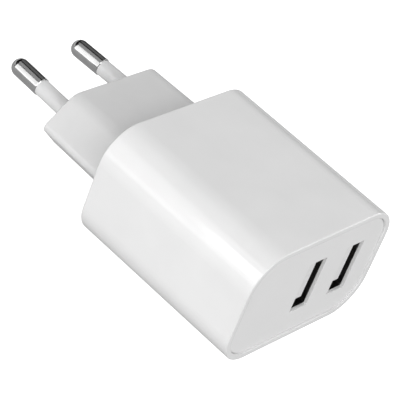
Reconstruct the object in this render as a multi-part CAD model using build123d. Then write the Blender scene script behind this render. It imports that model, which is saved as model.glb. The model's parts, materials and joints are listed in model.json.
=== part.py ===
from build123d import *
from math import atan2, cos, sin
import os

# USB wall charger for the two-pin European plug.  Millimetres, +Z up.
# Origin: centre of the plug base's rear face, the face that meets the wall socket.
# +Y points out along the pins into the socket, so the charger's body lies towards -Y.
# +X is to the right for somebody looking at the USB ports.

# ---- body ----
BODY_WIDTH = 42.6
BODY_HEIGHT = 27.1
BODY_LENGTH = 42.05
BODY_CORNER = 8.1
REAR_EDGE_ROUND = 0.3
WALL = 1.8
REAR_WALL = 2.0
RIM_WIDTH = 1.3
RIM_OUTER_ROUND = 0.25
RIM_INNER_ROUND = 0.15
SEAM_GAP = 0.05
RAIL_HEIGHT = 1.1
RAIL_GRIP = 0.9
RAIL_ROOT = 0.5

# ---- front panel and its snap hooks ----
PANEL_THICKNESS = 2.0
PANEL_RECESS = 0.4
PANEL_EDGE_CHAMFER = 0.15
HOOK_CENTRES_X = (-9.0, 9.0)
HOOK_WIDTH = 5.0
HOOK_LENGTH = 5.4
HOOK_SHEET = 1.2
HOOK_WALL_GAP = 0.1
BARB_HEIGHT = 0.7
BARB_BACK = 2.8
BARB_TOP = 0.8
BARB_LEAD = 1.6

# ---- plug base: six-sided neck ----
NECK_LENGTH = 18.0
NECK_APEX_X = 18.26
NECK_TOP_X = 11.58
NECK_HALF_HEIGHT = 6.73
NECK_APEX_ROUND = 1.45
NECK_TOP_ROUND = 4.3
NECK_DRAFT = 0.017
NECK_WALL = 1.8
NECK_FACE_PLATE = 3.6
NECK_EDGE_ROUND = 0.25
FLANGE_LIP = 1.2
FLANGE_THICKNESS = 1.6
# growing a hexagon with 45 degree flanks by 1 moves its corners by these amounts
APEX_GROWTH = 1.414
SHOULDER_GROWTH = 0.414

# ---- fits, and how far joined shapes or cutters reach past a surface ----
FIT_GAP = 0.05
OVERLAP = 0.5
CUT_PAST = 1.0

# ---- plug pins, which lean towards each other ----
PIN_SPACING_AT_FACE = 18.55
PIN_SPACING_AT_TIP = 17.3
PIN_LENGTH = 19.0
PIN_RADIUS = 2.0
PIN_BARE_LENGTH = 8.9
PIN_STEP_CHAMFER = 0.15
PIN_SHANK_RADIUS = 1.5
PIN_COLLAR_RADIUS = 2.6
PIN_COLLAR_END = -3.4
PIN_SHANK_END = -5.35
PIN_TAIL_RADIUS = 1.1
PIN_HEAD_RADIUS = 1.6
PIN_HEAD_START = -6.25
PIN_HEAD_END = -7.0
SLEEVE_RADIUS = 1.84
SLEEVE_ROOT_RADIUS = 2.5
SLEEVE_ROOT_LENGTH = 1.2
SLEEVE_FLARE_MIDDLE = (2.02, 0.456)
SLEEVE_EMBED = 1.8

# ---- contact strips from the pins down to the board ----
STRIP_THICKNESS = 0.8
STRIP_WIDTH = 3.8
STRIP_BEND = 1.2
STRIP_TOP = 2.2
STRIP_EYELET_Y = -5.8
STRIP_RUN_Z = -3.6
STRIP_DROP_Y = -25.4

# ---- USB-A receptacles ----
PORT_CENTRES_X = {"left": 0.0, "right": 11.6}
PORT_CENTRE_Z = 0.0
MOUTH_WIDTH = 5.2
MOUTH_HEIGHT = 12.6
MOUTH_CORNER = 0.3
MOUTH_LIP = 0.7
MOUTH_CHAMFER = 0.04
SHELL_INSIDE_WIDTH = 5.12
SHELL_INSIDE_HEIGHT = 12.5
SHELL_SHEET = 0.3
SHELL_CORNER = 0.7
SHELL_TAB_HALF_WIDTH = 1.5
SHELL_TAB_PROUD = 0.8
LEAF_OFFSETS_Z = (-3.1, 3.1)
LEAF_ROOT_Y = -50.0
LEAF_TIP_Y = -56.3
LEAF_DIP = 0.45
LEAF_ROOT_LENGTH = 0.6
LEAF_HALF_HEIGHT = 1.0
WINDOW_HALF_HEIGHT = 1.3
WINDOW_FRONT_Y = -56.9
TONGUE_THICKNESS = 1.84
TONGUE_HEIGHT = 11.1
TONGUE_RECESS = 0.44
TONGUE_CHAMFER = 0.12
NOTCH_HEIGHT = 2.25
NOTCH_DEPTH = 1.1
INSULATOR_BASE = 3.0
INSULATOR_END_GAP = 0.2
CONTACT_OFFSETS_Z = (-3.5, -1.0, 1.0, 3.5)
CONTACT_WIDTH = 1.0
CONTACT_SHEET = 0.25
CONTACT_REST_X = -0.2
CONTACT_BOW = (0.5, -55.3)
CONTACT_BOW_START_Y = -51.0
CONTACT_NOSE = (-0.15, -57.95)
CONTACT_BEND = 1.5
CONTACT_TAIL = 0.7
GROOVE_DEPTH = 0.45
GROOVE_FRONT_Y = -58.35
GROOVE_SIDE_GAP = 0.1

# ---- circuit boards ----
BOARD_THICKNESS = 1.6
BOARD_TOP = -7.0
BOARD_HALF_WIDTH = 17.8
BOARD_SPAN_Y = (-57.0, -22.6)
PORT_BOARD_THICKNESS = 1.2
PORT_BOARD_FRONT = -45.8
PORT_BOARD_SPAN_X = (-6.0, 16.6)
PORT_BOARD_TOP = 9.4
PORT_BOARD_TABS_X = ((-3.0, 1.0), (10.0, 14.0))
PORT_BOARD_TAB_END = -9.2
LEAD_RADIUS = 0.3
LEAD_END = -9.6
SHEET_THICKNESS = 0.3
SHEET_HALF_WIDTH = 12.5
SHEET_SPAN_Y = (-51.5, -22.5)

# ---- transformer, wound about an axis along X ----
CORE_CENTRE = (6.0, -35.0, 1.6)
CORE_LENGTH = 14.2
CORE_WIDTH = 16.1
CORE_HALF_HEIGHT = 2.4
CORE_BACK = 2.2
CORE_OUTER_LEG = 2.4
CORE_CENTRE_LEG = 4.0
BOBBIN_GAP = 0.05
BOBBIN_WALL = 0.7
BOBBIN_FLANGE = 0.9
BOBBIN_HALF_Y = 5.4
BOBBIN_HALF_Z = 6.2
BOBBIN_BAR_HALF_Y = 8.0
BOBBIN_BAR_TOP = -4.0
BOBBIN_STANDOFF = 0.3
BOBBIN_PIN_PITCH = 4.0
BOBBIN_PIN_X = 5.5
WINDING_MARGIN_Y = 0.2
WINDING_MARGIN_Z = 0.4
WINDING_CORNER = 1.6
TAPE_THICKNESS = 0.2
TAPE_MARGIN = 0.2

# ---- other parts on the board: (x, y) of each one's middle ----
INPUT_CAPACITOR = {"radius": 4.0, "height": 15.0, "lead_gap": 3.5}
INPUT_CAPACITORS_AT = {"front": (-12.6, -39.6), "rear": (-12.6, -30.6)}
OUTPUT_CAPACITOR = {"radius": 3.15, "height": 11.0, "lead_gap": 2.5}
OUTPUT_CAPACITORS_AT = {"left": (-13.3, -51.5), "right": (-6.95, -51.5)}
CAN_STANDOFF = 0.2
CAN_ROUND = 0.35
CAN_GROOVE_DEPTH = 0.25
CAN_GROOVE_LOW = 1.3
CAN_GROOVE_HEIGHT = 0.7
CHOKE_AT = (-5.2, -31.0)
CHOKE_FLANGE_RADIUS = 3.0
CHOKE_CORE_RADIUS = 1.4
CHOKE_WIRE_RADIUS = 2.7
CHOKE_HEIGHT = 8.0
CHOKE_FLANGE = 1.0
CHOKE_LEAD_X = 2.0
OPTOCOUPLER_AT = (-5.0, -39.5)
FUSE_AT = (15.2, -34.0)
FUSE_RADIUS = 1.5
FUSE_LENGTH = 8.0
FUSE_LEAD_SPAN = 11.0
FUSE_END_ROUND = 0.5
BRIDGE_AT = (4.2, -24.7)
SAFETY_CAPACITOR_AT = (-3.2, -24.6)
SAFETY_RADIUS = 3.8
SAFETY_THICKNESS = 3.0
SAFETY_ROUND = 1.2
SAFETY_STANDOFF = 0.6
SAFETY_LEAD_X = 2.5
CONTROLLER_AT = (-12.6, -46.2)
DIODE_AT = (0.0, -49.8)
CHIP_CHAMFER = 0.25
LEG_EMBED = 0.3
LEG_REACH = 0.5
LEG_SHEET = 0.3
LEG_WIDTH = 0.5

REAR_Y = -NECK_LENGTH
FRONT_Y = -(NECK_LENGTH + BODY_LENGTH)
INSIDE_REAR_Y = REAR_Y - REAR_WALL
PANEL_FACE_Y = FRONT_Y + PANEL_RECESS
PANEL_BACK_Y = PANEL_FACE_Y + PANEL_THICKNESS
FLANGE_FRONT_Y = INSIDE_REAR_Y - FLANGE_THICKNESS
INSIDE_HALF_HEIGHT = BODY_HEIGHT / 2 - WALL
BOARD_BOTTOM = BOARD_TOP - BOARD_THICKNESS
PORT_BOARD_REAR = PORT_BOARD_FRONT + PORT_BOARD_THICKNESS
SHELL_FRONT_Y = PANEL_FACE_Y + MOUTH_LIP + FIT_GAP
TONGUE_NOSE_Y = PANEL_FACE_Y + TONGUE_RECESS
BASE_FRONT_Y = PORT_BOARD_FRONT - INSULATOR_BASE
SHELL_HALF_WIDTH = SHELL_INSIDE_WIDTH / 2
SHELL_HALF_HEIGHT = SHELL_INSIDE_HEIGHT / 2
SIDES = {"left": -1, "right": 1}
STANDING = (Align.CENTER, Align.CENTER, Align.MIN)


# ---------------------------------------------------------------- helpers
def section_plane(y):
    """An X-Z plane at depth y, whose local y is +Z and whose normal is -Y."""
    return Plane(origin=(0, y, 0), x_dir=(1, 0, 0), z_dir=(0, -1, 0))


def prism(section, back, front):
    """A section of the X-Z plane carried from y = back to y = front."""
    return extrude(section_plane(back) * section, back - front)


def block(x_span, y_span, z_span):
    spans = (x_span, y_span, z_span)
    centre = [(low + high) / 2 for low, high in spans]
    return Pos(*centre) * Box(*[high - low for low, high in spans])


def around(centre, half):
    return (centre - half, centre + half)


def outward(side, near, far):
    """The span from near to far on the chosen side of the middle plane."""
    return tuple(sorted((side * near, side * far)))


def upright(x, y, z, radius, height):
    return Pos(x, y, z) * Cylinder(radius, height, align=STANDING)


def edges_at(part, y):
    return part.edges().filter_by_position(Axis.Y, y - 1e-4, y + 1e-4)


def total(parts):
    """All the parts joined into one."""
    first, *rest = parts
    return first.fuse(*rest) if rest else first


def body_section(inset=0.0):
    width, height = BODY_WIDTH - 2 * inset, BODY_HEIGHT - 2 * inset
    return RectangleRounded(width, height, BODY_CORNER - inset)


# ---------------------------------------------------------------- plug pins
def pin_plane(side):
    """Local z runs out along the leaning pin from the middle of its root."""
    sign = SIDES[side]
    lean = atan2((PIN_SPACING_AT_FACE - PIN_SPACING_AT_TIP) / 2, PIN_LENGTH)
    origin = (sign * PIN_SPACING_AT_FACE / 2, 0, 0)
    x_dir = (cos(lean), sign * sin(lean), 0)
    return Plane(origin=origin, x_dir=x_dir, z_dir=(-sign * sin(lean), cos(lean), 0))


def turned(outline, side):
    """A closed outline of (radius, distance along the pin), turned about the pin's axis."""
    face = Plane.XZ * make_face(outline)
    return pin_plane(side).location * revolve(face, Axis.Z)


def make_plug_pin(side):
    bare_start = PIN_LENGTH - PIN_BARE_LENGTH
    dome_start = PIN_LENGTH - PIN_RADIUS
    flanks = Polyline(
        (0, PIN_HEAD_END),
        (PIN_HEAD_RADIUS, PIN_HEAD_END),
        (PIN_HEAD_RADIUS, PIN_HEAD_START),
        (PIN_TAIL_RADIUS, PIN_HEAD_START),
        (PIN_TAIL_RADIUS, PIN_SHANK_END),
        (PIN_SHANK_RADIUS, PIN_SHANK_END),
        (PIN_SHANK_RADIUS, PIN_COLLAR_END),
        (PIN_COLLAR_RADIUS, PIN_COLLAR_END),
        (PIN_COLLAR_RADIUS, -SLEEVE_EMBED),
        (PIN_SHANK_RADIUS, -SLEEVE_EMBED),
        (PIN_SHANK_RADIUS, bare_start),
        (PIN_RADIUS - PIN_STEP_CHAMFER, bare_start),
        (PIN_RADIUS, bare_start + PIN_STEP_CHAMFER),
        (PIN_RADIUS, dome_start),
    )
    dome = CenterArc((0, dome_start), PIN_RADIUS, 0, 90)
    middle = Line((0, PIN_LENGTH), (0, PIN_HEAD_END))
    return turned([*flanks.edges(), dome, middle], side)


def make_pin_sleeve(side):
    """Insulating tube with a hollow-curved flare where it leaves the plug base."""
    top = PIN_LENGTH - PIN_BARE_LENGTH
    outside = ThreePointArc(
        (SLEEVE_ROOT_RADIUS, 0), SLEEVE_FLARE_MIDDLE, (SLEEVE_RADIUS, SLEEVE_ROOT_LENGTH)
    )
    rest = Polyline(
        (SLEEVE_RADIUS, SLEEVE_ROOT_LENGTH),
        (SLEEVE_RADIUS, top),
        (PIN_SHANK_RADIUS, top),
        (PIN_SHANK_RADIUS, -SLEEVE_EMBED),
        (SLEEVE_ROOT_RADIUS, -SLEEVE_EMBED),
        (SLEEVE_ROOT_RADIUS, 0),
    )
    return turned([outside, *rest.edges()], side)


def make_contact_strip(side):
    """Riveted on the pin's tail, it runs into the body and bends down through the board."""
    path = FilletPolyline(
        (STRIP_EYELET_Y, STRIP_TOP),
        (STRIP_EYELET_Y, STRIP_RUN_Z),
        (STRIP_DROP_Y, STRIP_RUN_Z),
        (STRIP_DROP_Y, LEAD_END),
        radius=STRIP_BEND,
    )
    ribbon = extrude(Plane.YZ * trace(path, STRIP_THICKNESS), STRIP_WIDTH / 2, both=True)
    tail = pin_plane(side).location * Pos(0, 0, STRIP_EYELET_Y)
    return Pos(tail.position.X, 0, 0) * ribbon - make_plug_pin(side)


# ---------------------------------------------------------------- casings
def neck_section(y, grow=0.0):
    """The rounded hexagon of the plug base at depth y; it widens towards the body."""
    grow = grow - NECK_DRAFT * y
    tall = NECK_HALF_HEIGHT + grow
    wide = NECK_TOP_X + SHOULDER_GROWTH * grow
    apex = NECK_APEX_X + APEX_GROWTH * grow
    upper = [(apex, 0), (wide, tall), (-wide, tall), (-apex, 0)]
    hexagon = Polygon(*upper, (-wide, -tall), (wide, -tall), align=None)
    apexes = [v for v in hexagon.vertices() if abs(v.Y) < 1]
    hexagon = fillet(apexes, NECK_APEX_ROUND)
    shoulders = [v for v in hexagon.vertices() if abs(v.Y) > tall - 1e-6]
    return fillet(shoulders, NECK_TOP_ROUND)


def neck_form(back, front, grow=0.0):
    return loft([section_plane(y) * neck_section(y, grow) for y in (back, front)])


def make_plug_base():
    outside = neck_form(0, INSIDE_REAR_Y)
    outside = fillet(edges_at(outside, 0), NECK_EDGE_ROUND)
    flange = prism(
        offset(neck_section(INSIDE_REAR_Y), FLANGE_LIP), INSIDE_REAR_Y, FLANGE_FRONT_Y
    )
    hollow = prism(offset(neck_section(0), -NECK_WALL), -NECK_FACE_PLATE, FLANGE_FRONT_Y)
    base = outside + flange - hollow
    for side in SIDES:
        base = base - make_plug_pin(side) - make_pin_sleeve(side)
    return base


def make_main_housing():
    """Glossy sleeve, open at the front, with the plug base's hole in its closed back."""
    outside = prism(body_section(), REAR_Y, FRONT_Y)
    outside = fillet(edges_at(outside, REAR_Y), REAR_EDGE_ROUND)
    outside = fillet(edges_at(outside, FRONT_Y), RIM_OUTER_ROUND)
    housing = outside - prism(body_section(RIM_WIDTH), PANEL_BACK_Y, FRONT_Y)
    crest = housing.faces().sort_by(Axis.Y)[0]
    housing = fillet(crest.inner_wires()[0].edges(), RIM_INNER_ROUND)
    housing -= prism(body_section(WALL), INSIDE_REAR_Y, FRONT_Y)
    housing -= neck_form(0, INSIDE_REAR_Y - CUT_PAST, FIT_GAP)
    housing += board_rails()
    for x in HOOK_CENTRES_X:
        for sign in (-1, 1):
            housing -= hook_pocket(x, sign)
    return housing


def board_rails():
    """Ribs above and below the board's long edges, rooted in the side walls."""
    heights = (
        (BOARD_TOP, BOARD_TOP + RAIL_HEIGHT),
        (BOARD_BOTTOM - RAIL_HEIGHT, BOARD_BOTTOM),
    )
    rails = [
        block(outward(sign, BOARD_HALF_WIDTH - RAIL_GRIP, BODY_WIDTH / 2), BOARD_SPAN_Y, z_span)
        for sign in (-1, 1)
        for z_span in heights
    ]
    inside = prism(body_section(WALL - RAIL_ROOT), INSIDE_REAR_Y, FRONT_Y)
    return total(rails) & inside


def hook_pocket(x, sign):
    """Pocket in the top or bottom wall that a barb of the front panel drops into."""
    catch_y = PANEL_BACK_Y + HOOK_LENGTH - BARB_TOP - BARB_LEAD
    low = INSIDE_HALF_HEIGHT - OVERLAP
    high = INSIDE_HALF_HEIGHT - HOOK_WALL_GAP + BARB_HEIGHT + FIT_GAP
    y_span = (catch_y - FIT_GAP, PANEL_BACK_Y + HOOK_LENGTH + FIT_GAP)
    return block(around(x, HOOK_WIDTH / 2 + HOOK_WALL_GAP), y_span, outward(sign, low, high))


def hook(x, sign):
    """Springy finger behind the panel, with a barb that faces the wall."""
    outer = INSIDE_HALF_HEIGHT - HOOK_WALL_GAP
    inner = outer - HOOK_SHEET
    root = PANEL_BACK_Y - OVERLAP
    tip = PANEL_BACK_Y + HOOK_LENGTH
    catch_y = tip - BARB_TOP - BARB_LEAD
    outline = [
        (root, inner),
        (tip, inner),
        (tip, outer),
        (catch_y + BARB_TOP, outer + BARB_HEIGHT),
        (catch_y, outer + BARB_HEIGHT),
        (catch_y, outer),
        (root, outer),
    ]
    face = Polygon(*[(y, sign * z) for y, z in outline], align=None)
    return Pos(x, 0, 0) * extrude(Plane.YZ * face, HOOK_WIDTH / 2, both=True)


def make_front_panel():
    """Plate set into the front rim, with a mouth and a recess for each receptacle."""
    panel = prism(body_section(RIM_WIDTH + SEAM_GAP), PANEL_BACK_Y, PANEL_FACE_Y)
    panel = chamfer(edges_at(panel, PANEL_FACE_Y), PANEL_EDGE_CHAMFER)
    mouth = RectangleRounded(MOUTH_WIDTH, MOUTH_HEIGHT, MOUTH_CORNER)
    for x in PORT_CENTRES_X.values():
        at = Pos(x, 0, PORT_CENTRE_Z)
        panel -= at * prism(mouth, PANEL_BACK_Y, PANEL_FACE_Y)
        panel -= at * prism(shell_section(FIT_GAP), PANEL_BACK_Y, PANEL_FACE_Y + MOUTH_LIP)
    face = panel.faces().sort_by(Axis.Y)[0]
    mouth_edges = [edge for wire in face.inner_wires() for edge in wire.edges()]
    panel = chamfer(mouth_edges, MOUTH_CHAMFER)
    return total([panel] + [hook(x, sign) for x in HOOK_CENTRES_X for sign in (-1, 1)])


# ---------------------------------------------------------------- USB-A receptacles
def shell_section(grow=0.0):
    width = SHELL_INSIDE_WIDTH + 2 * (SHELL_SHEET + grow)
    height = SHELL_INSIDE_HEIGHT + 2 * (SHELL_SHEET + grow)
    return RectangleRounded(width, height, SHELL_CORNER + grow)


def in_port(side, part):
    return Pos(PORT_CENTRES_X[side], 0, PORT_CENTRE_Z) * part


def shell_leaf(sign, z):
    """Spring leaf cut from the shell's long side and bent in to grip a plug."""
    inner, outer = SHELL_HALF_WIDTH, SHELL_HALF_WIDTH + SHELL_SHEET
    outline = [
        (inner, LEAF_ROOT_Y + LEAF_ROOT_LENGTH),
        (outer, LEAF_ROOT_Y + LEAF_ROOT_LENGTH),
        (outer, LEAF_ROOT_Y),
        (outer - LEAF_DIP, LEAF_TIP_Y),
        (inner - LEAF_DIP, LEAF_TIP_Y),
        (inner, LEAF_ROOT_Y),
    ]
    face = Polygon(*[(sign * x, y) for x, y in outline], align=None)
    return Pos(0, 0, z) * extrude(face, LEAF_HALF_HEIGHT, both=True)


def make_port_shell(side):
    """Folded sheet shell, open at the front, with grip leaves and two solder tabs."""
    inside = RectangleRounded(
        SHELL_INSIDE_WIDTH, SHELL_INSIDE_HEIGHT, SHELL_CORNER - SHELL_SHEET
    )
    shell = prism(shell_section(), PORT_BOARD_FRONT, SHELL_FRONT_Y)
    shell -= prism(inside, PORT_BOARD_FRONT, SHELL_FRONT_Y)
    for sign in (-1, 1):
        x_span = outward(sign, SHELL_HALF_WIDTH - FIT_GAP, SHELL_HALF_WIDTH + SHELL_SHEET + FIT_GAP)
        for z in LEAF_OFFSETS_Z:
            z_span = around(z, WINDOW_HALF_HEIGHT)
            shell -= block(x_span, (WINDOW_FRONT_Y, LEAF_ROOT_Y), z_span)
            shell += shell_leaf(sign, z)
        tab_z = outward(sign, SHELL_HALF_HEIGHT, SHELL_HALF_HEIGHT + SHELL_SHEET)
        tab_y = (PORT_BOARD_FRONT - OVERLAP, PORT_BOARD_REAR + SHELL_TAB_PROUD)
        shell += block((-SHELL_TAB_HALF_WIDTH, SHELL_TAB_HALF_WIDTH), tab_y, tab_z)
    return in_port(side, shell)


def make_port_contacts(side):
    """Four bowed spring contacts in the tongue's grooves, with tails through the board."""
    path = FilletPolyline(
        (CONTACT_REST_X, PORT_BOARD_REAR + CONTACT_TAIL),
        (CONTACT_REST_X, CONTACT_BOW_START_Y),
        CONTACT_BOW,
        CONTACT_NOSE,
        radius=CONTACT_BEND,
    )
    strip = extrude(trace(path, CONTACT_SHEET), CONTACT_WIDTH / 2, both=True)
    return in_port(side, total([Pos(0, 0, z) * strip for z in CONTACT_OFFSETS_Z]))


def make_port_insulator(side):
    """Moulded block with the tongue; the tongue's nose is notched at its lower corner."""
    base = block(
        around(0, SHELL_HALF_WIDTH - FIT_GAP),
        (BASE_FRONT_Y, PORT_BOARD_FRONT),
        around(0, SHELL_HALF_HEIGHT - INSULATOR_END_GAP),
    )
    half = TONGUE_HEIGHT / 2
    tongue = block((-TONGUE_THICKNESS, 0), (TONGUE_NOSE_Y, BASE_FRONT_Y + OVERLAP), (-half, half))
    tongue = chamfer(edges_at(tongue, TONGUE_NOSE_Y), TONGUE_CHAMFER)
    notch_x = (-TONGUE_THICKNESS - CUT_PAST, CUT_PAST)
    notch_y = (TONGUE_NOSE_Y - CUT_PAST, TONGUE_NOSE_Y + NOTCH_DEPTH)
    tongue -= block(notch_x, notch_y, (-half - CUT_PAST, -half + NOTCH_HEIGHT))
    insulator = base + tongue
    for z in CONTACT_OFFSETS_Z:
        groove_z = around(z, CONTACT_WIDTH / 2 + GROOVE_SIDE_GAP)
        groove_x = (-GROOVE_DEPTH, CUT_PAST)
        insulator -= block(groove_x, (GROOVE_FRONT_Y, BASE_FRONT_Y), groove_z)
    return in_port(side, insulator) - make_port_contacts(side)


# ---------------------------------------------------------------- transformer
def in_core(part):
    return Pos(*CORE_CENTRE) * part


def make_core_half(sign):
    """One E-shaped ferrite half; the two meet at the winding's middle."""
    half_length, half_width = CORE_LENGTH / 2, CORE_WIDTH / 2
    z_span = around(0, CORE_HALF_HEIGHT)
    back = block(
        outward(sign, half_length - CORE_BACK, half_length), around(0, half_width), z_span
    )
    reach = outward(sign, 0, half_length - CORE_BACK)
    legs = [block(reach, around(0, CORE_CENTRE_LEG / 2), z_span)]
    for y_sign in (-1, 1):
        y_span = outward(y_sign, half_width - CORE_OUTER_LEG, half_width)
        legs.append(block(reach, y_span, z_span))
    return in_core(total([back] + legs))


def core_tube(grow, half_length):
    """A box round the centre leg, grow thicker on every side."""
    y_half = CORE_CENTRE_LEG / 2 + grow
    return block(around(0, half_length), around(0, y_half), around(0, CORE_HALF_HEIGHT + grow))


def make_bobbin():
    half_length = CORE_LENGTH / 2 - CORE_BACK - BOBBIN_GAP
    parts = [core_tube(BOBBIN_GAP + BOBBIN_WALL, half_length)]
    bar_low = BOARD_TOP + BOBBIN_STANDOFF - CORE_CENTRE[2]
    bar_high = BOBBIN_BAR_TOP - CORE_CENTRE[2]
    for sign in (-1, 1):
        flange_x = outward(sign, half_length - BOBBIN_FLANGE, half_length)
        bar_x = outward(sign, half_length - BOBBIN_FLANGE, CORE_LENGTH / 2)
        parts.append(block(flange_x, around(0, BOBBIN_HALF_Y), around(0, BOBBIN_HALF_Z)))
        parts.append(block(bar_x, around(0, BOBBIN_BAR_HALF_Y), (bar_low, bar_high)))
    bobbin = total(parts) - core_tube(BOBBIN_GAP, CORE_LENGTH)
    return in_core(bobbin) - make_bobbin_pins()


def make_bobbin_pins():
    pin_height = BOBBIN_BAR_TOP - 2 * OVERLAP - LEAD_END
    x, y, _ = CORE_CENTRE
    pins = []
    for sign in (-1, 1):
        for row in (-1.5, -0.5, 0.5, 1.5):
            pin_y = y + row * BOBBIN_PIN_PITCH
            pins.append(upright(x + sign * BOBBIN_PIN_X, pin_y, LEAD_END, LEAD_RADIUS, pin_height))
    return total(pins)


def make_winding():
    half_length = CORE_LENGTH / 2 - CORE_BACK - BOBBIN_GAP - BOBBIN_FLANGE - BOBBIN_GAP
    width = 2 * (BOBBIN_HALF_Y - WINDING_MARGIN_Y)
    height = 2 * (BOBBIN_HALF_Z - WINDING_MARGIN_Z)
    coil = Plane.YZ * RectangleRounded(width, height, WINDING_CORNER)
    coil = extrude(coil, half_length, both=True)
    hollow = core_tube(BOBBIN_GAP + BOBBIN_WALL + BOBBIN_GAP, CORE_LENGTH)
    return in_core(coil - hollow)


def make_core_tape():
    """Band of tape that holds the two core halves together."""
    length, width = CORE_LENGTH, CORE_WIDTH
    band = Rectangle(length + 2 * TAPE_THICKNESS, width + 2 * TAPE_THICKNESS)
    band -= Rectangle(length, width)
    return in_core(extrude(band, CORE_HALF_HEIGHT - TAPE_MARGIN, both=True))


# ---------------------------------------------------------------- board parts
def can(position, size):
    """Standing electrolytic capacitor: grooved can with two leads through the board."""
    x, y = position
    radius, height = size["radius"], size["height"]
    low = BOARD_TOP + CAN_STANDOFF
    body = upright(x, y, low, radius, height)
    body = fillet(body.edges().filter_by(GeomType.CIRCLE), CAN_ROUND)
    groove_z = low + CAN_GROOVE_LOW
    groove = upright(x, y, groove_z, radius + CUT_PAST, CAN_GROOVE_HEIGHT)
    body -= groove - upright(x, y, groove_z, radius - CAN_GROOVE_DEPTH, CAN_GROOVE_HEIGHT)
    offsets = around(0, size["lead_gap"] / 2)
    lead_height = low + OVERLAP - LEAD_END
    leads = [upright(x, y + dy, LEAD_END, LEAD_RADIUS, lead_height) for dy in offsets]
    return total([body] + leads)


def make_choke():
    """Drum core; its wire is a part of its own."""
    x, y = CHOKE_AT
    low, high = BOARD_TOP + CAN_STANDOFF, BOARD_TOP + CAN_STANDOFF + CHOKE_HEIGHT
    core = upright(x, y, low, CHOKE_CORE_RADIUS, CHOKE_HEIGHT)
    flanges = [
        upright(x, y, z, CHOKE_FLANGE_RADIUS, CHOKE_FLANGE) for z in (low, high - CHOKE_FLANGE)
    ]
    lead_height = low + OVERLAP - LEAD_END
    leads = [
        upright(x + dx, y, LEAD_END, LEAD_RADIUS, lead_height) for dx in around(0, CHOKE_LEAD_X)
    ]
    return total([core] + flanges + leads)


def make_choke_winding():
    x, y = CHOKE_AT
    low = BOARD_TOP + CAN_STANDOFF + CHOKE_FLANGE + FIT_GAP
    height = CHOKE_HEIGHT - 2 * (CHOKE_FLANGE + FIT_GAP)
    coil = upright(x, y, low, CHOKE_WIRE_RADIUS, height)
    return coil - upright(x, y, low, CHOKE_CORE_RADIUS + FIT_GAP, height)


def make_fuse_resistor():
    """Lies along Y on two bent leads."""
    x, y = FUSE_AT
    z = BOARD_TOP + FUSE_RADIUS + CAN_STANDOFF
    body = Pos(x, y, z) * Rot(90, 0, 0) * Cylinder(FUSE_RADIUS, FUSE_LENGTH)
    body = fillet(body.edges().filter_by(GeomType.CIRCLE), FUSE_END_ROUND)
    wire = Pos(x, y, z) * Rot(90, 0, 0) * Cylinder(LEAD_RADIUS, FUSE_LEAD_SPAN)
    legs = [
        upright(x, y + dy, LEAD_END, LEAD_RADIUS, z - LEAD_END)
        for dy in around(0, FUSE_LEAD_SPAN / 2)
    ]
    return total([body, wire] + legs)


def packaged_chip(centre, size, legs_per_side, pitch, leg_end):
    """Moulded block with flat legs along its two X faces, as far as z = leg_end."""
    (x, y, z), (length, width, height) = centre, size
    body = block(around(x, length / 2), around(y, width / 2), around(z, height / 2))
    body = chamfer(body.edges().filter_by(Axis.Y), CHIP_CHAMFER)
    legs = []
    for sign in (-1, 1):
        near, far = length / 2 - LEG_EMBED, length / 2 + LEG_REACH
        arm_x = outward(sign, near, far)
        foot_x = outward(sign, far - LEG_SHEET, far)
        for row in range(legs_per_side):
            leg_y = around((row - (legs_per_side - 1) / 2) * pitch, LEG_WIDTH / 2)
            arm = block(arm_x, leg_y, around(0, LEG_SHEET / 2))
            foot = block(foot_x, leg_y, tuple(sorted((leg_end - z, 0))))
            legs.append(Pos(x, y, z) * (arm + foot))
    return total([body] + legs)


def make_optocoupler():
    x, y = OPTOCOUPLER_AT
    return packaged_chip((x, y, BOARD_TOP + 2.2), (3.6, 4.6, 3.0), 2, 2.54, LEAD_END)


def make_bridge_rectifier():
    x, y = BRIDGE_AT
    return packaged_chip((x, y, BOARD_TOP + 1.6), (3.8, 3.6, 2.4), 2, 2.2, LEAD_END)


def make_controller_chip():
    x, y = CONTROLLER_AT
    return packaged_chip((x, y, BOARD_BOTTOM - 0.9), (3.9, 4.9, 1.5), 4, 1.27, BOARD_BOTTOM)


def make_output_diode():
    x, y = DIODE_AT
    return packaged_chip((x, y, BOARD_BOTTOM - 1.2), (4.4, 3.6, 2.0), 1, 1.0, BOARD_BOTTOM)


def make_safety_capacitor():
    """Disc capacitor that stands on two leads."""
    x, y = SAFETY_CAPACITOR_AT
    z = BOARD_TOP + SAFETY_RADIUS + SAFETY_STANDOFF
    disc = Pos(x, y, z) * Rot(90, 0, 0) * Cylinder(SAFETY_RADIUS, SAFETY_THICKNESS)
    disc = fillet(disc.edges().filter_by(GeomType.CIRCLE), SAFETY_ROUND)
    leads = [
        upright(x + dx, y, LEAD_END, LEAD_RADIUS, z - LEAD_END)
        for dx in around(0, SAFETY_LEAD_X)
    ]
    return total([disc] + leads)


def make_port_board():
    """Upright board that carries both receptacles; its tabs stand in the main board."""
    y_span = (PORT_BOARD_FRONT, PORT_BOARD_REAR)
    plates = [block(PORT_BOARD_SPAN_X, y_span, (BOARD_TOP, PORT_BOARD_TOP))]
    for x_span in PORT_BOARD_TABS_X:
        plates.append(block(x_span, y_span, (PORT_BOARD_TAB_END, BOARD_TOP + OVERLAP)))
    board = total(plates)
    for side in SIDES:
        board = board - make_port_shell(side) - make_port_contacts(side)
    return board


def make_main_board(standing_parts):
    """Horizontal board, pierced by the leads of everything that stands in it."""
    board = block(around(0, BOARD_HALF_WIDTH), BOARD_SPAN_Y, (BOARD_BOTTOM, BOARD_TOP))
    for part in standing_parts:
        board -= part
    return board


def make_insulating_sheet():
    z_span = (-INSIDE_HALF_HEIGHT, -INSIDE_HALF_HEIGHT + SHEET_THICKNESS)
    return block(around(0, SHEET_HALF_WIDTH), SHEET_SPAN_Y, z_span)


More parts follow.
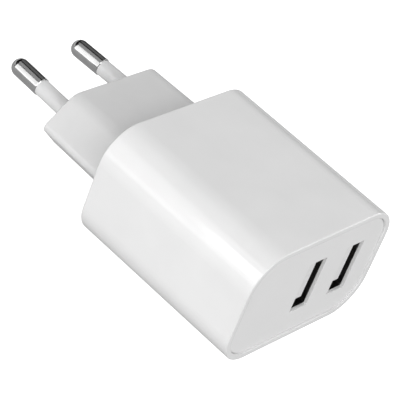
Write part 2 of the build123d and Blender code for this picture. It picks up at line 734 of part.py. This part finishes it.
# ---------------------------------------------------------------- the whole charger
def make_standing_parts():
    """Everything with leads, tabs or legs that pass through the main board."""
    parts = {
        "port_circuit_board": make_port_board(),
        "input_choke": make_choke(),
        "fuse_resistor": make_fuse_resistor(),
        "optocoupler": make_optocoupler(),
        "bridge_rectifier": make_bridge_rectifier(),
        "safety_capacitor": make_safety_capacitor(),
        "transformer_pins": make_bobbin_pins(),
    }
    for place, position in INPUT_CAPACITORS_AT.items():
        parts[f"input_capacitor_{place}"] = can(position, INPUT_CAPACITOR)
    for place, position in OUTPUT_CAPACITORS_AT.items():
        parts[f"output_capacitor_{place}"] = can(position, OUTPUT_CAPACITOR)
    for side in SIDES:
        parts[f"contact_strip_{side}"] = make_contact_strip(side)
    return parts


def make_charger():
    parts = make_standing_parts()
    parts["main_circuit_board"] = make_main_board(parts.values())
    parts["main_housing"] = make_main_housing()
    parts["plug_base"] = make_plug_base()
    parts["front_panel"] = make_front_panel()
    parts["transformer_core_left"] = make_core_half(-1)
    parts["transformer_core_right"] = make_core_half(1)
    parts["transformer_bobbin"] = make_bobbin()
    parts["transformer_winding"] = make_winding()
    parts["transformer_tape"] = make_core_tape()
    parts["choke_winding"] = make_choke_winding()
    parts["controller_chip"] = make_controller_chip()
    parts["output_diode"] = make_output_diode()
    parts["insulating_sheet"] = make_insulating_sheet()
    for side in SIDES:
        parts[f"plug_pin_{side}"] = make_plug_pin(side)
        parts[f"pin_sleeve_{side}"] = make_pin_sleeve(side)
        parts[f"port_shell_{side}"] = make_port_shell(side)
        parts[f"port_insulator_{side}"] = make_port_insulator(side)
        parts[f"port_contacts_{side}"] = make_port_contacts(side)
    return parts


os.makedirs("parts", exist_ok=True)
for node, solid in make_charger().items():
    export_step(solid, f"parts/{node}.step")
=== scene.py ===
import json
from math import cos, radians, sin

import bpy
from mathutils import Matrix, Vector


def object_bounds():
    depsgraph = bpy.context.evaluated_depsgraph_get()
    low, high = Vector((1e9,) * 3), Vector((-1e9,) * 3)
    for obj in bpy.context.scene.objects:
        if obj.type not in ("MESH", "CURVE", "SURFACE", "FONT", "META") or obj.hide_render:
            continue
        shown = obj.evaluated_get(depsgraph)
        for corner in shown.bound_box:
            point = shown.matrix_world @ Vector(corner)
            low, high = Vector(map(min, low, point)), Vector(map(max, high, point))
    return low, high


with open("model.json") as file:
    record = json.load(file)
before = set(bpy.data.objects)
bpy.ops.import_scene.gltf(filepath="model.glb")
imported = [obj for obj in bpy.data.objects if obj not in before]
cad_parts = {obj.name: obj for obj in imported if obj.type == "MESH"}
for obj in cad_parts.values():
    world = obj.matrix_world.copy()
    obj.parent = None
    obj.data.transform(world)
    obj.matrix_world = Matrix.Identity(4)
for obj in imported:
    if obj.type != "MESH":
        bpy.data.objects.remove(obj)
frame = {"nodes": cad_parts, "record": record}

MM = 0.001
WHITE = (1, 1, 1, 1)
CAD_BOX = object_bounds()
CENTRE = (CAD_BOX[0] + CAD_BOX[1]) / 2


# ---------------------------------------------------------------- camera
CAMERA_AZIMUTH = -59.1
CAMERA_ELEVATION = 35.75
CAMERA_ROLL = 22.2
CAMERA_DISTANCE = 438.4 * MM
CAMERA_LENS = 197.2
CAMERA_SENSOR = 36
CAMERA_CLIP = (0.05, 50)
CAMERA_AIM = Vector((-0.9, -9.64, -1.3)) * MM


def direction(azimuth, elevation):
    """Unit vector towards a place round the object; azimuth 0 is in front of the ports."""
    a, e = radians(azimuth), radians(elevation)
    return Vector((sin(a) * cos(e), -cos(a) * cos(e), sin(e)))


def link(thing):
    """Put an object in the scene."""
    bpy.context.scene.collection.objects.link(thing)
    return thing


def make_camera():
    """The photograph's viewing angle, turned about its own line of sight."""
    data = bpy.data.cameras.new("camera")
    data.lens = CAMERA_LENS
    data.sensor_width = CAMERA_SENSOR
    data.clip_start, data.clip_end = CAMERA_CLIP
    camera = link(bpy.data.objects.new("camera", data))
    back = direction(CAMERA_AZIMUTH, CAMERA_ELEVATION)
    level = back.to_track_quat("Z", "Y").to_matrix().to_4x4()
    place = Matrix.Translation(CENTRE + CAMERA_AIM + back * CAMERA_DISTANCE)
    camera.matrix_world = place @ level @ Matrix.Rotation(radians(CAMERA_ROLL), 4, "Z")
    bpy.context.scene.camera = camera


# ---------------------------------------------------------------- light and floor
LIGHT_DISTANCE = 1.0
# name, azimuth and elevation in degrees, width and height in metres, power in watts
LIGHTS = [
    ("strip_left_rear", -122, 21, 0.50, 1.15, 2.50),
    ("left_up", -88, 26, 0.90, 0.50, 4.80),
    ("left_card", -90, 7, 1.60, 0.22, 0.75),
    ("key_big", -30, 28, 1.00, 1.00, 6.40),
    ("front_large", 15, 28, 1.40, 0.95, 3.10),
    ("box_right", 88, 32, 0.45, 0.70, 5.20),
    ("fill_rear_right", 125, 36, 0.60, 0.60, 0.159),
    ("rear_card", 180, 10, 1.40, 0.30, 0.80),
    ("rear_top", -165, 60, 0.60, 0.40, 0.30),
]
BACKDROP_GLOW = 1.05
FLOOR_HALF_SIZE = 3.0
FLOOR_GAP = 0.02 * MM
FLOOR_ROUGHNESS = 0.9
# the floor that the camera sees, and the one that only lights the object
FLOOR_TONE = 0.3
BOUNCE_TONE = 0.05
BOUNCE_GLOW = 0.34


def make_light(name, azimuth, elevation, width, height, power):
    """A softbox that faces the object; the camera doesn't see it."""
    data = bpy.data.lights.new(name, "AREA")
    data.shape = "RECTANGLE"
    data.size, data.size_y = width, height
    data.energy = power
    light = link(bpy.data.objects.new(name, data))
    towards = direction(azimuth, elevation)
    light.location = CENTRE + towards * LIGHT_DISTANCE
    light.rotation_mode = "QUATERNION"
    light.rotation_quaternion = towards.to_track_quat("Z", "Y")
    light.visible_camera = False


def make_world():
    """A plain pale surround that only the camera sees."""
    world = bpy.data.worlds.new("studio")
    bpy.context.scene.world = world
    world.use_nodes = True
    background = world.node_tree.nodes["Background"]
    background.inputs["Color"].default_value = WHITE
    background.inputs["Strength"].default_value = BACKDROP_GLOW
    visibility = world.cycles_visibility
    visibility.diffuse = visibility.glossy = visibility.transmission = False


def make_floor(name, tone, glow):
    """A level sheet a hair under the object, so that no two faces share a plane."""
    size, low = FLOOR_HALF_SIZE, CAD_BOX[0].z - FLOOR_GAP
    corners = [(-size, -size, low), (size, -size, low), (size, size, low), (-size, size, low)]
    mesh = bpy.data.meshes.new(name)
    mesh.from_pydata(corners, [], [(0, 1, 2, 3)])
    floor = link(bpy.data.objects.new(name, mesh))
    material = bpy.data.materials.new(name)
    material.use_nodes = True
    # the sheet glows, but isn't sampled as a light
    material.cycles.emission_sampling = "NONE"
    shader = material.node_tree.nodes["Principled BSDF"]
    shader.inputs["Base Color"].default_value = (tone, tone, tone, 1)
    shader.inputs["Roughness"].default_value = FLOOR_ROUGHNESS
    shader.inputs["Emission Color"].default_value = WHITE
    shader.inputs["Emission Strength"].default_value = glow
    mesh.materials.append(material)
    return floor


def make_studio_floor():
    """The bright floor that the camera sees, and the dimmer one that lights the object."""
    seen = make_floor("floor", FLOOR_TONE, BACKDROP_GLOW)
    seen.visible_diffuse = seen.visible_glossy = seen.visible_transmission = False
    seen.visible_shadow = False
    bounce = make_floor("floor_bounce", BOUNCE_TONE, BOUNCE_GLOW)
    bounce.visible_camera = bounce.visible_shadow = False


# ---------------------------------------------------------------- material building blocks
IOR = 1.5
BEVEL_SAMPLES = 4
# most of a noise texture's values lie in this range
NOISE_LOW, NOISE_HIGH = 0.3, 0.7
# a wave texture's period at scale 1, which is pi / 10
WAVE_PERIOD = 0.31416
# cosine between the bevelled and the true normal, on a flat face and at a sharp edge
FLAT_COSINE, EDGE_COSINE = 0.998, 0.95
# a Mix node's sockets for colours come after those for numbers and vectors
MIX_FIRST, MIX_SECOND, MIX_RESULT = 6, 7, 2


def rgba(colour):
    """A colour, or a grey tone, with full alpha."""
    tone = (colour,) * 3 if isinstance(colour, float) else colour
    return (*tone, 1)


class Finish:
    """One procedural material; sizes are in millimetres on the object."""

    def __init__(self, name, metallic):
        self.material = bpy.data.materials.new(name)
        self.material.use_nodes = True
        self.tree = self.material.node_tree
        self.shader = self.tree.nodes["Principled BSDF"]
        self.set(Metallic=metallic, IOR=IOR)
        self.place = self.add("ShaderNodeTexCoord").outputs["Object"]

    def add(self, kind, settings=None, **inputs):
        """A new node; an input's name is its socket's, with _ for a space."""
        node = self.tree.nodes.new(kind)
        for name, value in (settings or {}).items():
            setattr(node, name, value)
        self.fill(node, inputs)
        return node

    def feed(self, socket, value):
        """Link a socket to a node's output, or set the socket's own value."""
        if isinstance(value, bpy.types.NodeSocket):
            self.tree.links.new(value, socket)
        else:
            socket.default_value = value

    def fill(self, node, inputs):
        for name, value in inputs.items():
            self.feed(node.inputs[name.replace("_", " ")], value)

    def set(self, **inputs):
        """Set or link the shader's own sockets."""
        self.fill(self.shader, inputs)

    def scaled(self, size, stretch=(1, 1, 1)):
        """Object coordinates in units of one feature's size, longer where stretch is larger."""
        scale = [1 / (size * MM * s) for s in stretch]
        node = self.add("ShaderNodeMapping", Vector=self.place, Scale=scale)
        return node.outputs["Vector"]

    def noise(self, size, stretch=(1, 1, 1), detail=3.0, rough=0.5):
        vector = self.scaled(size, stretch)
        node = self.add("ShaderNodeTexNoise", Vector=vector, Scale=1.0, Detail=detail, Roughness=rough)
        return node.outputs["Fac"]

    def cells(self, size, stretch=(1, 1, 1)):
        node = self.add("ShaderNodeTexVoronoi", Vector=self.scaled(size, stretch), Scale=1.0)
        return node.outputs["Distance"]

    def waves(self, pitch, axis, wander=0.0):
        """Ridges one pitch apart along an axis."""
        settings = {"wave_type": "BANDS", "bands_direction": axis}
        vector = self.scaled(pitch / WAVE_PERIOD)
        node = self.add("ShaderNodeTexWave", settings, Vector=vector, Scale=1.0, Distortion=wander)
        return node.outputs["Fac"]

    def spread(self, value, low, high, start=NOISE_LOW, end=NOISE_HIGH):
        """The value's range from start to end, carried over to low to high."""
        ends = {"From_Min": start, "From_Max": end, "To_Min": low, "To_Max": high}
        return self.add("ShaderNodeMapRange", Value=value, **ends).outputs["Result"]

    def combine(self, operation, first, second):
        node = self.add("ShaderNodeMath", {"operation": operation})
        for socket, value in zip(node.inputs, (first, second)):
            self.feed(socket, value)
        return node.outputs["Value"]

    def colours(self, value, first, second):
        """A ramp between two colours, or two grey tones, over the value's range."""
        node = self.add("ShaderNodeValToRGB", Fac=value)
        places = (NOISE_LOW, NOISE_HIGH)
        for stop, colour, place in zip(node.color_ramp.elements, (first, second), places):
            stop.color = rgba(colour)
            stop.position = place
        return node.outputs["Color"]

    def overlay(self, mask, base, colour):
        """The colour laid over the base where the mask is 1."""
        node = self.add("ShaderNodeMix", {"data_type": "RGBA"}, Factor=mask)
        self.feed(node.inputs[MIX_FIRST], base)
        self.feed(node.inputs[MIX_SECOND], rgba(colour))
        return node.outputs[MIX_RESULT]

    def rounded(self, radius):
        """The surface's normal, as if its edges had a small round."""
        settings = {"samples": BEVEL_SAMPLES}
        return self.add("ShaderNodeBevel", settings, Radius=radius * MM).outputs["Normal"]

    def edges(self, radius):
        """1 at a sharp edge, fading to 0 a radius away from it."""
        flat = self.add("ShaderNodeNewGeometry").outputs["Normal"]
        node = self.add("ShaderNodeVectorMath", {"operation": "DOT_PRODUCT"})
        for socket, normal in zip(node.inputs, (self.rounded(radius), flat)):
            self.feed(socket, normal)
        return self.spread(node.outputs["Value"], 0, 1, start=FLAT_COSINE, end=EDGE_COSINE)

    def painted_edge_shade(self, tone, radius, amount, shade):
        """Painted shade: base colour that darkens from a tone towards a grey shade along edges and in
        creases; gives their mask.
        """
        edge_wear_and_shade = self.edges(radius)
        mask = self.combine("MULTIPLY", edge_wear_and_shade, amount)
        # painted shade: edges and creases darkened towards the shade tone
        self.set(Base_Color=self.overlay(mask, tone, shade))
        return edge_wear_and_shade

    def relief(self, *layers, round_edges=0.0):
        """Bump from (height, depth) layers, one over the other, on slightly rounded edges."""
        normal = self.rounded(round_edges) if round_edges else None
        for height, depth in layers:
            node = self.add("ShaderNodeBump", Height=height, Distance=depth * MM)
            if normal:
                self.feed(node.inputs["Normal"], normal)
            normal = node.outputs["Normal"]
        self.set(Normal=normal)


# ---------------------------------------------------------------- casing materials
def housing_gloss(finish):
    """Polished white polycarbonate: sink marks, orange peel, smudges, hairlines, rubbed rougher edges,
    and painted shade darkening the edges.
    """
    tone = finish.colours(finish.noise(11, detail=2), 0.80, 0.83)
    # painted shade: edges and creases darkened towards a grey; the same mask also makes them rougher
    edge_wear_and_shade = finish.painted_edge_shade(tone, radius=0.35, amount=0.55, shade=0.62)
    smudges = finish.spread(finish.noise(5, detail=5, rough=0.6), 0.045, 0.085)
    hairlines = finish.spread(finish.noise(0.12, (1, 60, 1), detail=2), 0.0, 0.05, start=0.62, end=0.75)
    rubbed = finish.combine("MULTIPLY", edge_wear_and_shade, 0.35)
    finish.set(Roughness=finish.combine("ADD", finish.combine("ADD", smudges, hairlines), rubbed))
    finish.relief((finish.noise(9, detail=1), 0.006), (finish.noise(0.5, detail=2), 0.0004))


def panel_satin(finish):
    """Semi-gloss white polycarbonate with flow lines, and painted shade darkening its edges."""
    tone = finish.colours(finish.noise(12, detail=2), 0.825, 0.835)
    # painted shade: edges and creases darkened towards a grey
    finish.painted_edge_shade(tone, radius=0.25, amount=0.35, shade=0.62)
    finish.set(Roughness=finish.spread(finish.noise(3, detail=4), 0.285, 0.325))
    flow = finish.noise(5, (1, 1, 3), detail=2)
    finish.relief((flow, 0.0012), (finish.noise(0.15, detail=2), 0.0003), round_edges=0.06)


def base_satin(finish):
    """Spark-eroded white polycarbonate: fine grain, rubbed smoother along its edges, where painted
    shade also darkens it.
    """
    tone = finish.colours(finish.noise(6, detail=3), 0.705, 0.73)
    # painted shade: edges and creases darkened towards a grey; the same mask also makes them smoother
    edge_wear_and_shade = finish.painted_edge_shade(tone, radius=0.6, amount=0.3, shade=0.68)
    grain = finish.noise(0.14, detail=3, rough=0.65)
    blotches = finish.spread(finish.noise(2.5, detail=4), 0.36, 0.46)
    polish = finish.combine("MULTIPLY", edge_wear_and_shade, 0.06)
    finish.set(Roughness=finish.combine("SUBTRACT", blotches, polish))
    finish.relief((grain, 0.0035), (finish.cells(0.3), 0.0015), round_edges=0.12)


def sleeve_plastic(finish):
    """Off-white polyamide drawn smooth along the pin, scuffed by sockets."""
    tone = finish.colours(finish.noise(1.8, (1, 3, 1), detail=4), 0.72, 0.775)
    finish.set(Base_Color=tone)
    finish.set(Roughness=finish.spread(finish.noise(0.5, (1, 8, 1), detail=4), 0.29, 0.38))
    scuffs = finish.noise(0.1, (1, 25, 1), detail=2)
    finish.relief((scuffs, 0.0012), (finish.noise(0.6, detail=2), 0.002), round_edges=0.1)


def insulator_plastic(finish):
    """Moulded white nylon, slightly mottled, with painted shade darkening its edges."""
    tone = finish.colours(finish.noise(1.0, detail=4), 0.76, 0.83)
    # painted shade: edges and creases darkened towards a grey
    finish.painted_edge_shade(tone, radius=0.12, amount=0.3, shade=0.66)
    finish.set(Roughness=finish.spread(finish.noise(0.7, detail=4), 0.30, 0.42))
    finish.relief((finish.noise(0.1, detail=3), 0.0015), round_edges=0.06)


# ---------------------------------------------------------------- metals
def pin_nickel(finish):
    """Bright nickel: turning rings round the pin and drag marks along it from sockets."""
    rings = finish.noise(0.06, (400, 1, 400), detail=3, rough=0.7)
    drag = finish.noise(0.09, (1, 70, 1), detail=3, rough=0.6)
    bloom = finish.noise(1.6, detail=4)
    finish.set(Base_Color=finish.colours(bloom, (0.60, 0.60, 0.60), (0.68, 0.68, 0.68)))
    dull = finish.spread(drag, 0.0, 0.10, start=0.52, end=0.72)
    finish.set(Roughness=finish.combine("ADD", finish.spread(bloom, 0.10, 0.17), dull))
    finish.relief((rings, 0.0004), (drag, 0.0003), round_edges=0.05)


def shell_steel(finish):
    """Dark nickel on rolled sheet, brushed along the way a plug slides in; kept near black, which
    partly paints the shade deep inside the ports.
    """
    grain = finish.noise(0.05, (1, 50, 1), detail=3, rough=0.65)
    # partly painted shade: a near-black colour keeps the inside of each port dark
    finish.set(Base_Color=finish.colours(finish.noise(0.9, detail=4), 0.065, 0.105))
    finish.set(Roughness=finish.spread(grain, 0.30, 0.45))
    finish.relief((grain, 0.001))


def contact_gold(finish):
    """Gold flash, worn towards the bronze where plugs wipe it."""
    wiped = finish.noise(0.5, (1, 4, 1), detail=4)
    finish.set(Base_Color=finish.colours(wiped, (0.74, 0.50, 0.22), (0.86, 0.66, 0.30)))
    finish.set(Roughness=finish.spread(finish.noise(0.06, (1, 30, 1)), 0.16, 0.30))
    finish.relief((finish.noise(0.06, (1, 30, 1)), 0.0006))


def strip_brass(finish):
    """Stamped brass, tarnished in patches, with drawing lines along the strip."""
    tarnish = finish.noise(1.4, detail=5, rough=0.6)
    finish.set(Base_Color=finish.colours(tarnish, (0.55, 0.38, 0.16), (0.82, 0.64, 0.30)))
    finish.set(Roughness=finish.spread(tarnish, 0.42, 0.22))
    finish.relief((finish.noise(0.08, (1, 40, 1)), 0.0012), round_edges=0.05)


def tinned_wire(finish):
    """Tin with a soft, frosted solder skin."""
    frost = finish.noise(0.25, detail=5, rough=0.65)
    finish.set(Base_Color=finish.colours(frost, 0.58, 0.76))
    finish.set(Roughness=finish.spread(frost, 0.22, 0.40))
    finish.relief((frost, 0.003))


def copper_wire(finish):
    """Turns of enamelled wire, side by side up the core."""
    turns = finish.waves(0.35, "Z", wander=0.2)
    finish.set(Base_Color=finish.colours(turns, (0.34, 0.12, 0.05), (0.78, 0.38, 0.17)))
    finish.set(Roughness=finish.spread(finish.noise(0.4), 0.18, 0.32), Coat_Weight=0.4)
    finish.relief((turns, 0.12))


# ---------------------------------------------------------------- materials on the boards
def board_laminate(finish):
    """Green solder mask over woven glass, with the copper's relief showing through."""
    weave = finish.combine("ADD", finish.waves(0.45, "X"), finish.waves(0.45, "Y"))
    copper = finish.cells(2.6)
    tone = finish.colours(copper, (0.020, 0.145, 0.060), (0.040, 0.235, 0.100))
    finish.set(Base_Color=tone, Coat_Weight=0.3)
    finish.set(Roughness=finish.spread(finish.noise(1.5, detail=4), 0.26, 0.42))
    finish.relief((weave, 0.006), (finish.spread(copper, 0, 1, start=0.35, end=0.45), 0.03))


def ferrite(finish):
    """Sintered ceramic: dark grey, speckled and slightly porous."""
    specks = finish.cells(0.22)
    finish.set(Base_Color=finish.colours(specks, 0.045, 0.085))
    finish.set(Roughness=finish.spread(finish.noise(0.8, detail=5), 0.50, 0.70))
    finish.relief((specks, 0.012), (finish.noise(0.3, detail=4), 0.01), round_edges=0.12)


def bobbin_black(finish):
    """Glass-filled black phenolic, with fibres just under its skin."""
    fibres = finish.noise(0.12, (1, 8, 1), detail=4)
    finish.set(Base_Color=finish.colours(fibres, 0.018, 0.038))
    finish.set(Roughness=finish.spread(fibres, 0.35, 0.5))
    finish.relief((fibres, 0.004), round_edges=0.1)


def wrapped_tape(finish, pitch, axis):
    """Yellow polyester tape: overlapping edges, and thin places that show what is under it."""
    laps = finish.waves(pitch, axis, wander=0.6)
    tone = finish.colours(finish.noise(2.2, detail=4), (0.70, 0.50, 0.06), (0.88, 0.70, 0.13))
    finish.set(Base_Color=tone, Coat_Weight=0.25)
    finish.set(Roughness=finish.spread(finish.noise(1.0, detail=4), 0.24, 0.40))
    finish.relief((laps, 0.03), (finish.noise(0.8, (1, 3, 1)), 0.02))


def winding_wrap(finish):
    wrapped_tape(finish, 1.9, "X")


def tape_yellow(finish):
    wrapped_tape(finish, 2.2, "Z")


def shrunk_sleeve(finish, dark, light):
    """Heat-shrunk sleeve over an aluminium can, with faint draw lines."""
    draw = finish.noise(0.2, (1, 1, 20), detail=4)
    finish.set(Base_Color=finish.colours(finish.noise(1.5, detail=4), dark, light), Coat_Weight=0.2)
    finish.set(Roughness=finish.spread(draw, 0.24, 0.40))
    finish.relief((draw, 0.006), (finish.noise(2.0), 0.02))


def capacitor_black(finish):
    shrunk_sleeve(finish, (0.022, 0.022, 0.028), (0.050, 0.050, 0.060))


def capacitor_green(finish):
    shrunk_sleeve(finish, (0.018, 0.085, 0.050), (0.045, 0.170, 0.105))


def resistor_grey(finish):
    """Rough flameproof cement."""
    grit = finish.noise(0.18, detail=5, rough=0.7)
    finish.set(Base_Color=finish.colours(grit, (0.25, 0.29, 0.27), (0.40, 0.44, 0.41)))
    finish.set(Roughness=finish.spread(grit, 0.62, 0.80))
    finish.relief((grit, 0.02))


def chip_black(finish):
    """Moulded epoxy with a fine matt grain."""
    grain = finish.noise(0.08, detail=4, rough=0.65)
    finish.set(Base_Color=finish.colours(finish.noise(0.7), 0.016, 0.034))
    finish.set(Roughness=finish.spread(grain, 0.46, 0.64))
    finish.relief((grain, 0.004), round_edges=0.06)


def disc_blue(finish):
    """Dipped epoxy that has run and pooled a little."""
    runs = finish.noise(1.6, (1, 1, 2), detail=3)
    finish.set(Base_Color=finish.colours(runs, (0.030, 0.100, 0.300), (0.060, 0.190, 0.460)))
    finish.set(Roughness=finish.spread(runs, 0.20, 0.34), Coat_Weight=0.5)
    finish.relief((runs, 0.08))


def sheet_clear(finish):
    """Milky polyester film with a few creases."""
    creases = finish.noise(3.0, (1, 4, 1), detail=4)
    finish.set(Base_Color=finish.colours(creases, (0.74, 0.74, 0.70), (0.86, 0.86, 0.83)))
    finish.set(Roughness=finish.spread(creases, 0.25, 0.45), Transmission_Weight=0.35)
    finish.relief((creases, 0.05))


METALS = (pin_nickel, shell_steel, contact_gold, strip_brass, tinned_wire, copper_wire)
OTHERS = (
    housing_gloss, panel_satin, base_satin, sleeve_plastic, insulator_plastic,
    board_laminate, ferrite, bobbin_black, winding_wrap, tape_yellow, capacitor_black,
    capacitor_green, resistor_grey, chip_black, disc_blue, sheet_clear,
)


def make_materials():
    """Every material, by the name of the record's slot it belongs to."""
    materials = {}
    for build in METALS + OTHERS:
        finish = Finish(build.__name__, metallic=1.0 if build in METALS else 0.0)
        build(finish)
        materials[build.__name__] = finish.material
    return materials


def paint_cad_nodes(materials):
    """Each CAD node gets the material of its slot in the record."""
    for part in frame["record"]["subparts"]:
        for slot in frame["nodes"][part["node"]].material_slots:
            slot.material = materials[part["material_slot"]]


make_camera()
make_world()
make_studio_floor()
for light in LIGHTS:
    make_light(*light)
paint_cad_nodes(make_materials())
bpy.context.scene.view_settings.view_transform = "Standard"
